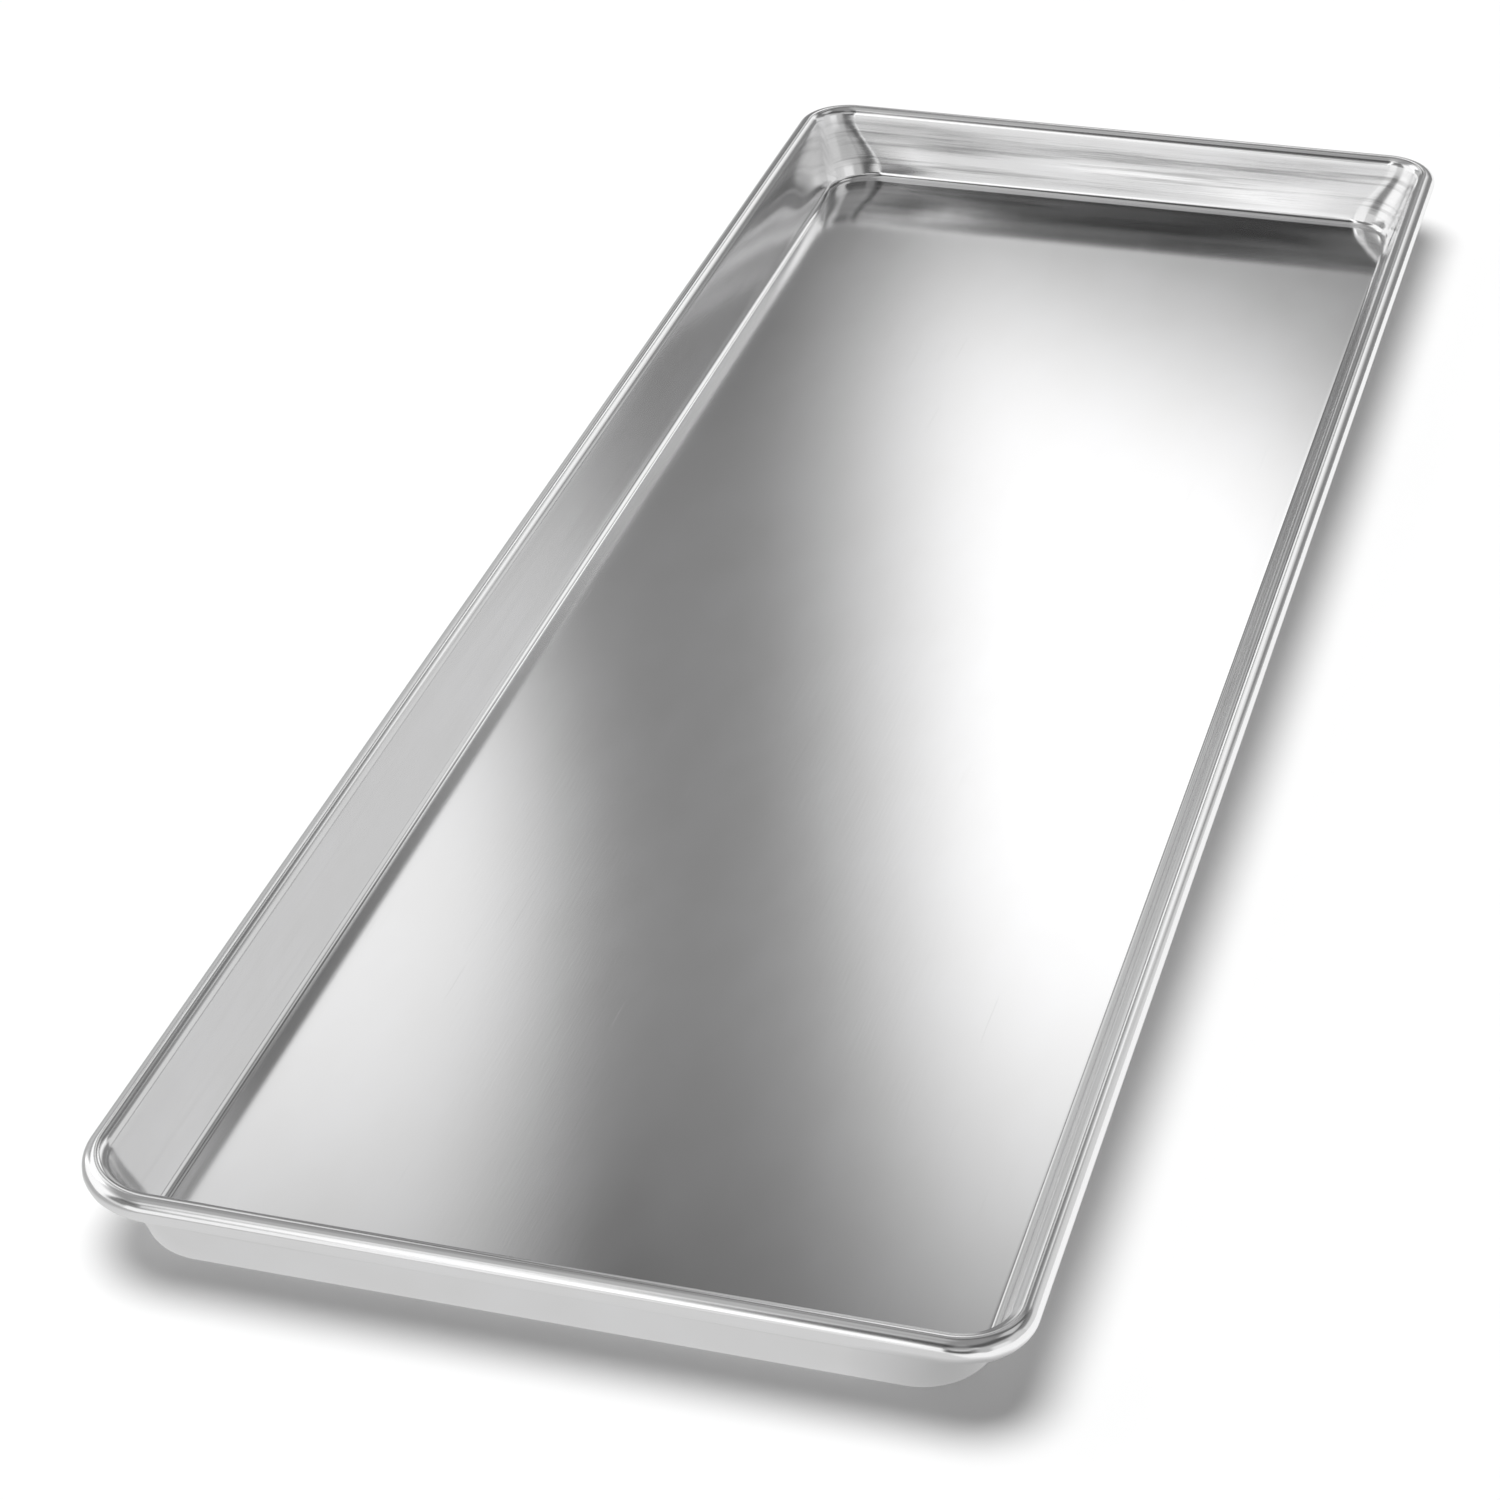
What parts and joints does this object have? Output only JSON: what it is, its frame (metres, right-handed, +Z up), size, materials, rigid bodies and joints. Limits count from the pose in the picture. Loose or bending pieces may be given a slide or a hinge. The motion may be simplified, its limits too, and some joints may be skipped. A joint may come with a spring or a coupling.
{
  "type": "display pan",
  "caption": "Long shallow rectangular aluminium bakery display pan with leaning walls, round corners and an edge rolled over a steel wire.",
  "frame": {"origin": "middle of the underside, on the surface that the pan stands on", "axes": "+Z up out of the pan, +Y along its length, +X across its width"},
  "size_m": [0.2286, 0.6556, 0.0244],
  "materials": {
    "aluminium_sheet": "satin rolled sheet, polished over the rolled rim",
    "steel_wire": "drawn"
  },
  "bodies": {
    "root": {"pan_shell": "aluminium_sheet", "rim_wire": "steel_wire"}
  },
  "joints": []
}
